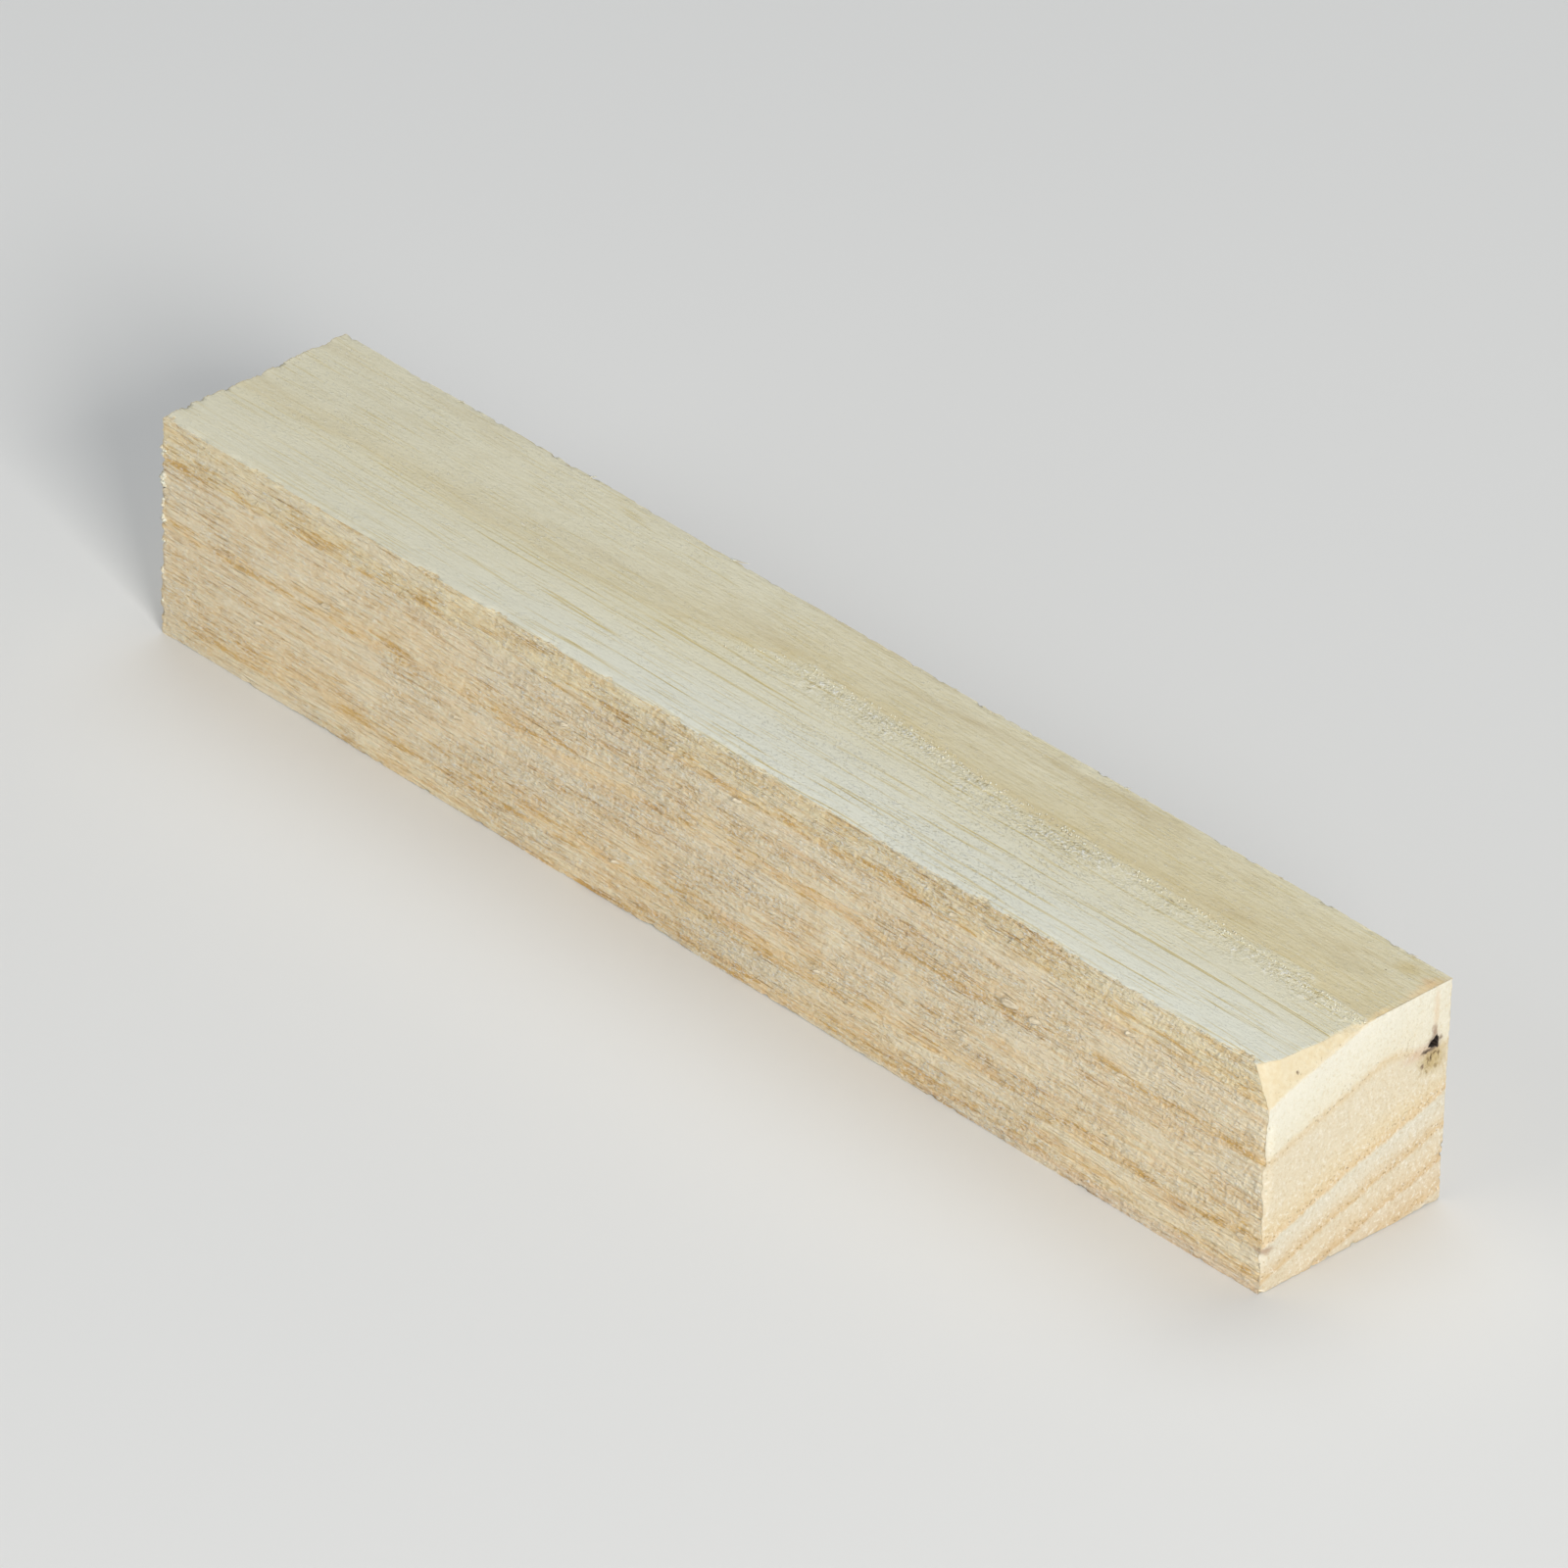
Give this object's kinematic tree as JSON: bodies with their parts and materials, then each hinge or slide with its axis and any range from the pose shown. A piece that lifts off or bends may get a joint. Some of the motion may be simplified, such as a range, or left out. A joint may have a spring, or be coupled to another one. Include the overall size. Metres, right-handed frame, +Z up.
{
  "type": "wood turning blank",
  "caption": "Short rough-sawn square of pale ring-porous hardwood, cut to length for turning on a small lathe, with one upper corner of an end broken away along a growth ring.",
  "frame": {"origin": "middle of the long face that the blank lies on", "axes": "+X along the grain towards the end with the broken corner, +Y across towards the whole upper edge, +Z up"},
  "size_m": [0.127, 0.02, 0.0207],
  "materials": {
    "sawn_wood": "dry, unfinished, as sawn"
  },
  "bodies": {
    "root": {"turning_blank": "sawn_wood"}
  },
  "joints": []
}
